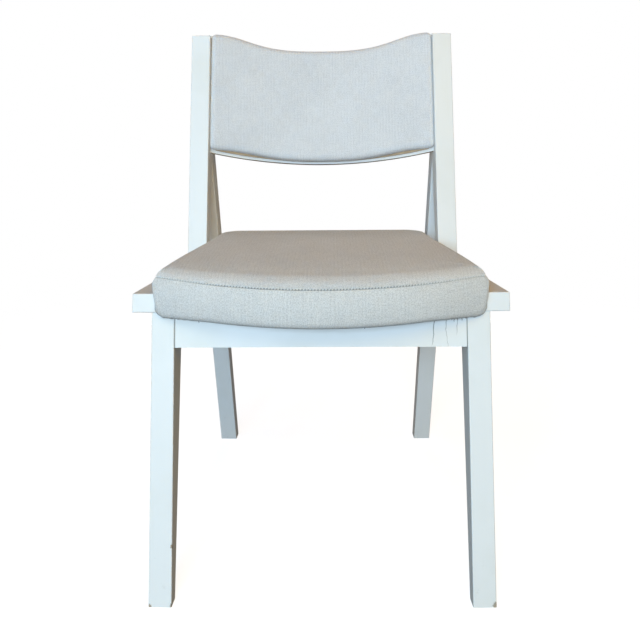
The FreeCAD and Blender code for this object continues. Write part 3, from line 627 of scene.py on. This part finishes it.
def backrest_pad():
    outline, normals, run = resampled(backrest_outline(), PAD_SAMPLES)
    pad = Pad(outline, normals, run)
    section = ((0.0050, 0.0), (0.0018, 0.02), (0.0004, 0.14), (0.0, 0.30), (0.0, 0.46),
               (0.0006, 0.62), (0.0019, 0.76), (0.0039, 0.88), (0.0066, 0.96), (0.0100, 1.0))

    def height(plan, share):
        back = bow(plan[:, 0], PAD_BACK_SET)
        front = bow(plan[:, 0], PAD_FRONT_SET)
        return -(back * (1 - share) + front * share)

    for inset, share in section:
        pad.ring(inset, 0.0)
        pad.rings[-1][:, 2] = height(pad.rings[-1], share)
    inner_front = pad.cap(pad.rings[-1])
    inner_back = pad.cap(pad.rings[0])
    front_plan = np.array(list(inner_front.values()))
    back_plan = np.array(list(inner_back.values()))
    distance = nearest_share(front_plan, outline, 0.01)[0] - 0.010
    drawn = 0.0010 * smoothstep(0.0, 0.05, distance)
    front = np.hstack([front_plan, (height(front_plan, 1.0) - drawn)[:, None]])
    back = np.hstack([back_plan, height(back_plan, 0.0)[:, None]])
    points = np.vstack(pad.rings + [back, front])
    faces = pad.faces(inner_back, inner_front)
    count = pad.count
    held = np.zeros(len(points), bool)
    held[:4 * count] = True
    held[len(pad.rings) * count:len(pad.rings) * count + len(back)] = True
    travel = np.full(len(points), 0.0002)
    travel[7 * count:len(pad.rings) * count] = 0.0004
    travel[-len(front):] += PAD_FILL * smoothstep(0.0, 0.060, distance)
    filled = inflated(points, faces, held, travel)
    lower_half, upper_half = PAD_HALF
    limit = np.interp(filled[:, 1], (PAD_BOTTOM[1], PAD_TOP[1]), (lower_half, upper_half)) + 0.0001
    filled[:, 0] = np.clip(filled[:, 0], -limit, limit)
    rings = [filled[level * count:(level + 1) * count] for level in range(len(pad.rings))]
    last = len(pad.rings) * count
    around = np.append(0, np.cumsum([np.linalg.norm(b - a, axis=1).mean()
                                     for a, b in zip(rings, rings[1:])]))
    flat = []
    for level in range(len(rings)):
        flat.append(pad.rings[-1][:, :2] + normals * (around[-1] - around[level]))
    flat = np.vstack(flat + [back_plan, front_plan])
    rings = [backrest_place(ring) for ring in rings]
    new_back = dict(zip(inner_back, backrest_place(filled[last:last + len(back)])))
    new_front = dict(zip(inner_front, backrest_place(filled[last + len(back):])))
    # Painted shade on the pad's cloth along its back edge rings, where it meets the panel and the posts.
    return finished_mesh("backrest_pad", pad, rings, new_back, new_front,
                         lambda points, faces: flat[np.array(faces)],
                         {0: 1.0, 1: 0.9, 2: 0.5, 3: 0.2})


# ---------------------------------------------------------------- materials

class Finish:
    """A material with one Principled surface and short ways to add nodes in front of it."""

    def __init__(self, name, surface):
        self.material = bpy.data.materials.new(name)
        self.material.use_nodes = True
        self.tree = self.material.node_tree
        self.surface = self.tree.nodes["Principled BSDF"]
        for socket, value in surface.items():
            self.surface.inputs[socket].default_value = value

    def node(self, kind, inputs, **settings):
        made = self.tree.nodes.new("ShaderNode" + kind)
        for setting, value in settings.items():
            setattr(made, setting, value)
        for socket, value in inputs.items():
            if isinstance(value, bpy.types.NodeSocket):
                self.tree.links.new(value, made.inputs[socket])
            else:
                made.inputs[socket].default_value = value
        return made

    def math(self, operation, first, second=0.0, third=0.0):
        inputs = {0: first, 1: second, 2: third}
        return self.node("Math", inputs, operation=operation).outputs[0]

    def noise(self, vector, scale, detail=2.0, roughness=0.5):
        inputs = {"Vector": vector, "Scale": scale, "Detail": detail, "Roughness": roughness}
        return self.node("TexNoise", inputs).outputs["Fac"]

    def stretched(self, vector, scale, rotation=(0, 0, 0)):
        inputs = {"Vector": vector, "Scale": scale, "Rotation": rotation}
        return self.node("Mapping", inputs).outputs[0]

    def step(self, value, low, high):
        """0 below low and 1 above high, smoothly."""
        inputs = {"Value": value, "From Min": low, "From Max": high}
        return self.node("MapRange", inputs, interpolation_type="SMOOTHSTEP").outputs[0]

    def mix(self, share, first, second):
        made = self.tree.nodes.new("ShaderNodeMix")
        made.data_type = "RGBA"
        for socket, value in ((0, share), (6, first), (7, second)):
            if isinstance(value, bpy.types.NodeSocket):
                self.tree.links.new(value, made.inputs[socket])
            else:
                made.inputs[socket].default_value = value
        return made.outputs[2]

    def colour(self, value):
        self.tree.links.new(value, self.surface.inputs["Base Color"])

    def roughness(self, value):
        self.tree.links.new(value, self.surface.inputs["Roughness"])

    def bump(self, height, strength, distance):
        inputs = {"Height": height, "Strength": strength, "Distance": distance}
        made = self.node("Bump", inputs)
        self.tree.links.new(made.outputs[0], self.surface.inputs["Normal"])


def rgb(red, green, blue):
    return (red, green, blue, 1.0)


PAINT = rgb(0.86, 0.865, 0.85)
PAINT_AGED = rgb(0.80, 0.80, 0.76)
PAINT_DIRT = rgb(0.50, 0.47, 0.42)
WORN_WOOD = rgb(0.42, 0.36, 0.28)
# Dark dirt in the cracks, and dirt with painted shade in the joint of the apron and the legs.
CRACK_DIRT_AND_JOINT_SHADE = rgb(0.13, 0.12, 0.10)
# Dark brown painted on faces that look down, as painted shade.
UNDERSIDE_SHADE = rgb(0.30, 0.22, 0.15)


def painted(name, turn, chips=(), cracks=(), ends=None, shaded_below=False):
    """White paint over wood whose grain runs along Z once the coordinates are turned.
    Chips and cracks bare the wood; ends is the X beyond which the joint is darkened with dirt and painted
    shade;
    the last flag colours the faces that look down dark brown, as painted shade."""
    finish = Finish(name, {"Roughness": 0.42, "Specular IOR Level": 0.45})
    place = finish.node("TexCoord", {}).outputs["Object"]
    along = finish.stretched(place, (1, 1, 1), [math.radians(angle) for angle in turn])
    grain = finish.noise(finish.stretched(along, (260, 260, 9)), 1.0, 3.0, 0.6)
    brush = finish.noise(finish.stretched(along, (70, 70, 5)), 1.0, 2.0)
    cloud = finish.noise(place, 9.0, 3.0, 0.6)
    height = finish.node("SeparateXYZ", {"Vector": place}).outputs["Z"]

    aged = finish.math("MULTIPLY", finish.step(cloud, 0.42, 0.72), 0.55)
    colour = finish.mix(aged, PAINT, PAINT_AGED)
    streak = finish.math("MULTIPLY", finish.step(brush, 0.56, 0.76), 0.25)
    colour = finish.mix(streak, colour, PAINT_AGED)
    scuff = finish.math("MULTIPLY", finish.step(finish.noise(place, 60.0, 4.0, 0.7), 0.60, 0.78),
                        finish.step(height, 0.10, 0.0))
    colour = finish.mix(finish.math("MULTIPLY", scuff, 0.45), colour, PAINT_DIRT)

    worn = 0.0
    ragged = finish.math("MULTIPLY", finish.noise(place, 420.0, 3.0, 0.6), 0.006)
    for x, y, z, radius in chips:
        inputs = {0: place, 1: (x, y, z)}
        apart = finish.node("VectorMath", inputs, operation="DISTANCE").outputs["Value"]
        edge = finish.math("ADD", apart, finish.math("SUBTRACT", ragged, 0.003))
        worn = finish.math("MAXIMUM", worn, finish.step(edge, radius, radius * 0.7))
    for x, lean, low, high, width in cracks:
        parts = finish.node("SeparateXYZ", {"Vector": place})
        wander = finish.math("MULTIPLY", finish.math("SUBTRACT", finish.noise(place, 55.0, 3.0), 0.5), 0.006)
        slope = finish.math("MULTIPLY", finish.math("SUBTRACT", parts.outputs["Z"], low), lean)
        line = finish.math("ADD", finish.math("SUBTRACT", parts.outputs["X"], x), slope)
        away = finish.math("ABSOLUTE", finish.math("ADD", line, wander))
        tapered = finish.math("MULTIPLY_ADD", finish.step(height, low, high), width * 0.7, width * 0.3)
        thin = finish.step(finish.math("DIVIDE", away, tapered), 1.0, 0.45)
        span = finish.math("MULTIPLY", finish.step(height, low, low + 0.006),
                           finish.step(height, high, high - 0.006))
        worn = finish.math("MAXIMUM", worn, finish.math("MULTIPLY", finish.math("MULTIPLY", thin, span), 0.75))
    if chips or cracks:
        colour = finish.mix(worn, colour, CRACK_DIRT_AND_JOINT_SHADE if cracks else WORN_WOOD)
    # Dirt and painted shade in the joint where the apron meets the legs, just inside its ends.
    if ends:
        reach = finish.math("ABSOLUTE", finish.node("SeparateXYZ", {"Vector": place}).outputs["X"])
        joint = finish.step(reach, ends - 0.0016, ends - 0.0009)
        colour = finish.mix(finish.math("MULTIPLY", joint, 0.85), colour, CRACK_DIRT_AND_JOINT_SHADE)
    # Painted shade: faces that look down turn dark brown, and so does most of the panel's back, which faces a
    # little downwards.
    if shaded_below:
        facing = finish.node("TexCoord", {}).outputs["Normal"]
        down = finish.node("SeparateXYZ", {"Vector": facing}).outputs["Z"]
        colour = finish.mix(finish.step(down, 0.02, -0.30), colour, UNDERSIDE_SHADE)

    finish.colour(colour)
    finish.roughness(finish.math("MULTIPLY_ADD", cloud, 0.22, 0.34))
    relief = finish.math("MULTIPLY_ADD", grain, 0.6, finish.math("MULTIPLY", brush, 0.8))
    if chips or cracks:
        relief = finish.math("SUBTRACT", relief, finish.math("MULTIPLY", worn, 2.0))
    finish.bump(relief, 0.35, 0.0003)
    return finish.material


CLOTH = (rgb(0.50, 0.49, 0.47), rgb(0.71, 0.70, 0.675), rgb(0.90, 0.895, 0.875))
# The backrest's cloth is the seat's cloth painted lighter and bluer: painted light standing for the cool window
# light on it.
CLOTH_PAINTED_LIGHT = (rgb(0.55, 0.56, 0.575), rgb(0.79, 0.805, 0.83), rgb(0.95, 0.96, 0.975))
# Dark grey painted into the cloth as painted shade in its creases, along its seam and under its turned edges.
FABRIC_PAINTED_SHADE = rgb(0.13, 0.13, 0.13)
WEAVE_PITCH = 0.0013


def woven(name, tones, evenness):
    """A plain-woven greige cloth with slubbed yarns, on the cloth's own flat coordinates.
    tones are dark, middle and light; evenness, up to 1, is the middle tone's share."""
    darkest, middle, lightest = tones
    finish = Finish(name, {"Roughness": 0.86, "Specular IOR Level": 0.25, "Sheen Weight": 0.18, "Sheen Roughness": 0.45})
    flat = finish.node("UVMap", {}, uv_map="cut").outputs["UV"]
    parts = finish.node("SeparateXYZ", {"Vector": flat})
    across, up = parts.outputs["X"], parts.outputs["Y"]
    turn = math.pi / WEAVE_PITCH
    warp = finish.math("SINE", finish.math("MULTIPLY", across, turn))
    weft = finish.math("SINE", finish.math("MULTIPLY", up, turn))
    over = finish.step(finish.math("MULTIPLY", warp, weft), -0.15, 0.15)
    warp_high = finish.math("POWER", finish.math("ABSOLUTE", warp), 0.6)
    weft_high = finish.math("POWER", finish.math("ABSOLUTE", weft), 0.6)
    weave = finish.math("MULTIPLY_ADD", finish.math("SUBTRACT", warp_high, weft_high), over, weft_high)

    slub_warp = finish.noise(finish.stretched(flat, (380, 60, 1)), 1.0, 2.0, 0.6)
    slub_weft = finish.noise(finish.stretched(flat, (70, 420, 1)), 1.0, 2.0, 0.6)
    wander = finish.noise(finish.stretched(flat, (60, 14, 1)), 1.0, 2.0)
    ribs = finish.math("SINE", finish.math("MULTIPLY", across, 2 * math.pi / 0.0052))
    ribs = finish.math("MULTIPLY", ribs, finish.step(wander, 0.35, 0.65))
    cloud = finish.noise(flat, 11.0, 3.0, 0.6)
    fleck = finish.noise(flat, 760.0, 1.0, 0.7)

    tone = finish.math("MULTIPLY_ADD", slub_warp, 0.25, finish.math("MULTIPLY", slub_weft, 0.2))
    tone = finish.math("MULTIPLY_ADD", ribs, 0.035, tone)
    tone = finish.math("MULTIPLY_ADD", fleck, 0.95, tone)
    tone = finish.math("MULTIPLY_ADD", cloud, 0.2, tone)
    tone = finish.math("MULTIPLY_ADD", weave, 0.12, tone)
    colour = finish.mix(finish.step(tone, 0.60, 1.12), darkest, lightest)
    colour = finish.mix(evenness, colour, middle)
    # Painted shade: the mesh's attribute darkens the cloth in creases, along the seam and under turned edges.
    painted_shade = finish.node("Attribute", {}, attribute_name="painted_shade").outputs["Fac"]
    colour = finish.mix(finish.math("MULTIPLY", painted_shade, 0.8), colour, FABRIC_PAINTED_SHADE)
    finish.colour(colour)
    relief = finish.math("MULTIPLY_ADD", finish.math("ADD", slub_warp, slub_weft), 0.7, weave)
    finish.bump(relief, 0.7, 0.0005)
    return finish.material


def thread_finish(name, dark, light):
    finish = Finish(name, {"Roughness": 0.7, "Specular IOR Level": 0.3})
    place = finish.node("TexCoord", {}).outputs["Object"]
    twist = finish.noise(place, 1400.0, 2.0)
    finish.colour(finish.mix(finish.step(twist, 0.35, 0.65), dark, light))
    finish.bump(twist, 0.5, 0.0002)
    return finish.material


def wooden(name, light, dark, turn, rings):
    """Bare wood with its grain along Z once the coordinates are turned."""
    finish = Finish(name, {"Roughness": 0.62, "Specular IOR Level": 0.3})
    place = finish.node("TexCoord", {}).outputs["Object"]
    along = finish.stretched(place, (1, 1, 1), [math.radians(angle) for angle in turn])
    warp = finish.noise(finish.stretched(along, (18, 18, 2)), 1.0, 3.0)
    inputs = {"Vector": finish.stretched(along, (1, 1, 0.08)), "Scale": rings, "Distortion": 2.5,
              "Detail": 3.0, "Detail Scale": 1.5}
    figure = finish.node("TexWave", inputs, bands_direction="X").outputs["Fac"]
    pores = finish.noise(finish.stretched(along, (900, 900, 40)), 1.0, 2.0)
    tone = finish.math("MULTIPLY_ADD", figure, 0.45, finish.math("MULTIPLY", warp, 0.55))
    colour = finish.mix(tone, light, dark)
    colour = finish.mix(finish.math("MULTIPLY", finish.step(pores, 0.58, 0.72), 0.5), colour, dark)
    finish.colour(colour)
    finish.bump(pores, 0.3, 0.0002)
    return finish.material


def layered():
    """Plywood: glued layers seen on the edge, a rotary-cut face."""
    finish = Finish("plywood", {"Roughness": 0.6, "Specular IOR Level": 0.3})
    place = finish.node("TexCoord", {}).outputs["Object"]
    height = finish.node("SeparateXYZ", {"Vector": place}).outputs["Z"]
    layers = finish.step(finish.math("SINE", finish.math("MULTIPLY", height, 2 * math.pi / 0.0028)), -0.3, 0.3)
    figure = finish.noise(finish.stretched(place, (22, 3, 1)), 1.0, 4.0, 0.6)
    fine = finish.noise(finish.stretched(place, (300, 20, 300)), 1.0, 2.0)
    colour = finish.mix(figure, rgb(0.62, 0.47, 0.31), rgb(0.44, 0.31, 0.19))
    colour = finish.mix(finish.math("MULTIPLY", layers, 0.22), colour, rgb(0.30, 0.20, 0.12))
    finish.colour(colour)
    finish.bump(fine, 0.25, 0.0002)
    return finish.material


def zinc():
    finish = Finish("zinc_plated_steel", {"Metallic": 0.55, "Roughness": 0.36})
    place = finish.node("TexCoord", {}).outputs["Object"]
    cloud = finish.noise(place, 220.0, 3.0, 0.6)
    finish.colour(finish.mix(cloud, rgb(0.62, 0.63, 0.65), rgb(0.78, 0.77, 0.72)))
    finish.roughness(finish.math("MULTIPLY_ADD", cloud, 0.3, 0.22))
    finish.bump(finish.noise(place, 900.0, 2.0), 0.15, 0.0001)
    return finish.material


def dust_cloth():
    """Thin black spun cloth with the small dots where its fibres are pressed together."""
    finish = Finish("dust_cloth", {"Roughness": 0.95, "Specular IOR Level": 0.1})
    place = finish.node("TexCoord", {}).outputs["Object"]
    parts = finish.node("SeparateXYZ", {"Vector": place})
    turn = 2 * math.pi / 0.0022
    dots = finish.math("MULTIPLY", finish.math("SINE", finish.math("MULTIPLY", parts.outputs["X"], turn)),
                       finish.math("SINE", finish.math("MULTIPLY", parts.outputs["Y"], turn)))
    fibre = finish.noise(place, 700.0, 3.0, 0.7)
    colour = finish.mix(fibre, rgb(0.022, 0.022, 0.024), rgb(0.06, 0.06, 0.062))
    finish.colour(finish.mix(finish.math("MULTIPLY", finish.step(dots, 0.3, 0.8), 0.6), colour, rgb(0.012, 0.012, 0.013)))
    finish.bump(finish.math("MULTIPLY_ADD", dots, 0.6, fibre), 0.4, 0.0002)
    return finish.material


def dress(piece, material):
    piece.data.materials.clear()
    piece.data.materials.append(material)


# ---------------------------------------------------------------- underside

def dust_cover():
    """The thin cloth stapled under the seat board."""
    low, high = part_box("seat_dust_cover")
    base = seat_outline()
    base[:, 1] = np.maximum(base[:, 1], 2 * low.y - base[:, 1].min() - 0.02)
    outline, normals, run = resampled(base, 160)
    pad = Pad(outline, normals, run)
    middle = (low.z + high.z) / 2
    wave = 0.0006 * np.sin(np.arange(160) * 2 * math.pi / 8)
    for height in (middle - 0.00015, middle + 0.00015):
        pad.ring(0.015 + wave, height)
        pad.rings[-1][:, 1] = np.maximum(pad.rings[-1][:, 1], low.y)
    inner = pad.cap(pad.rings[0])
    plan = np.array(list(inner.values()))
    sides = [np.hstack([plan, np.full((len(plan), 1), ring[0, 2])]) for ring in pad.rings]
    piece = mesh_object("seat_dust_cloth", np.vstack(pad.rings + sides), pad.faces(inner, inner))
    return piece, low, high


# ---------------------------------------------------------------- the chair

cushion, stitch_line, stitch_out, hem = seat_cushion()
dress(cushion, woven("greige_cloth", CLOTH, 0.38))
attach(cushion, "root")
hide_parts("seat_cover_top", "seat_cover_band", "seat_foam", "seat_edge_padding")

seam_thread = stitches("seat_topstitching", stitch_line, stitch_out, STITCH_PITCH, 0.0025, 0.0021)
dress(seam_thread, thread_finish("thread", rgb(0.72, 0.71, 0.69), rgb(0.88, 0.87, 0.84)))
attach(seam_thread, "root")

FRAYS = ((0.176, 0.0006, 0.0020), (0.1815, -0.0008, 0.0042), (0.187, 0.0010, 0.0030),
         (0.1925, 0.0005, 0.0036), (0.199, -0.0006, 0.0022), (-0.1665, 0.0006, 0.0026),
         (0.0585, -0.0004, 0.0016))
frays = loose_threads("seat_band_frays", hem, FRAYS, 0.0012)
# The loose threads are coloured dark grey as painted shade.
dress(frays, thread_finish("thread_painted_shade", rgb(0.16, 0.15, 0.14), rgb(0.30, 0.28, 0.26)))
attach(frays, "root")

back_pad = backrest_pad()
# Painted light: the backrest's cloth is lighter and bluer than the seat's.
dress(back_pad, woven("greige_cloth_painted_light", CLOTH_PAINTED_LIGHT, 0.36))
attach(back_pad, "root")
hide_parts("backrest_cover", "backrest_foam")

cloth, cloth_low, cloth_high = dust_cover()
dress(cloth, dust_cloth())
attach(cloth, "root")
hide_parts("seat_dust_cover")

UPRIGHT = (0, 0, 0)
LENGTHWISE = (90, 0, 0)
CROSSWISE = (0, 90, 0)
foot_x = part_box("front_leg_right")[1].x
toe_chips = {
    "right": ((foot_x, FRONT, 0.003, 0.0065), (foot_x - 0.0005, FRONT + 0.001, 0.016, 0.0030)),
    "left": ((-foot_x + 0.001, FRONT, 0.001, 0.0042), (-foot_x + 0.033, FRONT + 0.001, 0.002, 0.0042),
             (-foot_x + 0.033, FRONT + 0.016, 0.080, 0.0032)),
}
apron_low, apron_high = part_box("front_apron")
apron_cracks = ((0.1542, -0.10, apron_low.z, apron_high.z, 0.0016),
                (0.1762, 0.05, apron_low.z - 0.002, apron_high.z, 0.0008),
                (0.1880, -0.10, apron_low.z + 0.014, apron_high.z, 0.0009))

for side in ("left", "right"):
    dress(nodes["front_leg_" + side], painted("paint_front_leg_" + side, (LEG_RAKE, 0, 0), toe_chips[side]))
    dress(nodes["rear_leg_" + side], painted("paint_rear_leg_" + side, (REAR_LEG_RAKE, 0, 0)))
    dress(nodes["back_post_" + side], painted("paint_post_" + side, (math.degrees(POST_LEAN), 0, 0)))
    dress(nodes["side_rail_" + side], painted("paint_rail_" + side, LENGTHWISE))
dress(nodes["front_apron"], painted("paint_front_apron", CROSSWISE, cracks=apron_cracks,
                                     ends=apron_high.x))
dress(nodes["rear_apron"], painted("paint_rear_apron", CROSSWISE))
dress(nodes["backrest_panel"], painted("paint_panel", CROSSWISE, shaded_below=True))

beech = wooden("beech", rgb(0.66, 0.47, 0.30), rgb(0.50, 0.33, 0.19), UPRIGHT, 55.0)
block_wood = wooden("bare_wood", rgb(0.60, 0.42, 0.25), rgb(0.43, 0.28, 0.15), CROSSWISE, 40.0)
plywood = layered()
steel = zinc()
for name, node in nodes.items():
    if "dowels" in name:
        dress(node, beech)
    elif "block_" in name and "screws" not in name or "cleat" in name:
        dress(node, block_wood)
    elif name in ("seat_board", "seat_front_lip", "backrest_pad_board"):
        dress(node, plywood)
    elif "screws" in name or "staples" in name or "nuts" in name:
        dress(node, steel)


# ---------------------------------------------------------------- stage, light and camera

def stage_floor():
    """A pale floor round the chair that thins out into the white background."""
    bpy.ops.mesh.primitive_grid_add(x_subdivisions=8, y_subdivisions=8, size=8.0, location=(0, 0, 0))
    floor = bpy.context.object
    floor.name = "floor"
    finish = Finish("pale_floor", {"Roughness": 0.8, "Emission Color": rgb(1, 1, 1), "Emission Strength": 0.80})
    place = finish.node("TexCoord", {}).outputs["Object"]
    finish.colour(finish.mix(finish.noise(place, 3.0, 2.0), rgb(0.52, 0.53, 0.54), rgb(0.56, 0.57, 0.58)))
    away = finish.node("VectorMath", {0: place}, operation="LENGTH").outputs["Value"]
    clear = finish.tree.nodes.new("ShaderNodeBsdfTransparent")
    blend = finish.node("MixShader", {0: finish.step(away, 0.55, 1.9), 1: finish.surface.outputs[0],
                                      2: clear.outputs[0]})
    output = finish.tree.nodes["Material Output"]
    finish.tree.links.new(blend.outputs[0], output.inputs["Surface"])
    dress(floor, finish.material)
    floor.visible_diffuse = False
    floor.visible_glossy = False


def soft_light(name, at, aim, size, power, colour, out_of_sight=False):
    light = bpy.data.lights.new(name, "AREA")
    light.shape = "RECTANGLE"
    light.size, light.size_y = size
    light.energy = power
    light.color = colour
    lamp = bpy.data.objects.new(name, light)
    lamp.location = at
    lamp.rotation_euler = (Vector(aim) - Vector(at)).to_track_quat("-Z", "Y").to_euler()
    if out_of_sight:
        lamp.visible_camera = False
        lamp.visible_glossy = False
    bpy.context.scene.collection.objects.link(lamp)


def surroundings():
    """White where the camera looks, a dim warm room for the light that reaches the chair."""
    world = bpy.data.worlds.new("room")
    bpy.context.scene.world = world
    world.use_nodes = True
    tree = world.node_tree
    tree.nodes.clear()
    seen = tree.nodes.new("ShaderNodeBackground")
    seen.inputs["Color"].default_value = rgb(1, 1, 1)
    room = tree.nodes.new("ShaderNodeBackground")
    toward = tree.nodes.new("ShaderNodeTexCoord")
    parts = tree.nodes.new("ShaderNodeSeparateXYZ")
    tree.links.new(toward.outputs["Generated"], parts.inputs[0])
    ahead = tree.nodes.new("ShaderNodeMapRange")
    ahead.inputs["From Max"].default_value = -1
    tree.links.new(parts.outputs["Y"], ahead.inputs["Value"])
    glow = tree.nodes.new("ShaderNodeMix")
    glow.data_type = "RGBA"
    glow.inputs[6].default_value = rgb(0.012, 0.012, 0.012)
    glow.inputs[7].default_value = rgb(0.358, 0.350, 0.330)
    tree.links.new(ahead.outputs[0], glow.inputs[0])
    tree.links.new(glow.outputs[2], room.inputs["Color"])
    path = tree.nodes.new("ShaderNodeLightPath")
    blend = tree.nodes.new("ShaderNodeMixShader")
    output = tree.nodes.new("ShaderNodeOutputWorld")
    tree.links.new(path.outputs["Is Camera Ray"], blend.inputs[0])
    tree.links.new(room.outputs[0], blend.inputs[1])
    tree.links.new(seen.outputs[0], blend.inputs[2])
    tree.links.new(blend.outputs[0], output.inputs["Surface"])


def aim_camera():
    pitch, turn, roll = (math.radians(angle) for angle in (CAMERA_PITCH, CAMERA_TURN, CAMERA_ROLL))
    forward = Vector((math.sin(turn) * math.cos(pitch), math.cos(turn) * math.cos(pitch), -math.sin(pitch)))
    level = Vector((math.cos(turn), -math.sin(turn), 0))
    down = forward.cross(level)
    right = math.cos(roll) * level + math.sin(roll) * down
    up = math.sin(roll) * level - math.cos(roll) * down
    camera = bpy.data.objects.new("camera", bpy.data.cameras.new("camera"))
    camera.data.lens = CAMERA_LENS
    camera.data.shift_x, camera.data.shift_y = CAMERA_SHIFT
    camera.matrix_world = Matrix.Translation(CAMERA_AT) @ Matrix((right, up, -forward)).transposed().to_4x4()
    bpy.context.scene.collection.objects.link(camera)
    bpy.context.scene.camera = camera


stage_floor()
surroundings()
soft_light("window", (-0.5, -3.1, 1.05), (0, 0, 0.5), (1.2, 1.0), 68, (0.574, 0.80, 1.0))
soft_light("high_left", (-0.9, -1.5, 1.9), (0, 0, 0.5), (1.0, 1.0), 8.4, (0.0, 0.5, 1.0))
soft_light("ceiling", (0.6, -2.4, 2.5), (0, 0, 0.45), (2.0, 1.6), 26, (1.0, 0.60, 0.0))
soft_light("side_left", (-2.6, -0.35, 0.7), (0, 0, 0.35), (1.2, 1.2), 10, (1.0, 0.85, 0.65))
soft_light("overhead", (0, 0.1, 2.7), (0, 0, 0.45), (2.4, 2.4), 9, (1.0, 0.31, 0.0))
soft_light("side_right", (2.6, 0.3, 0.7), (0, 0, 0.35), (1.2, 1.2), 7, (1.0, 0.95, 0.88), out_of_sight=True)
soft_light("behind", (0, 3.4, 0.5), (0, 0, 0.5), (1.2, 0.8), 70, (1.0, 0.96, 0.90), out_of_sight=True)
aim_camera()
bpy.context.scene.view_settings.view_transform = "Standard"
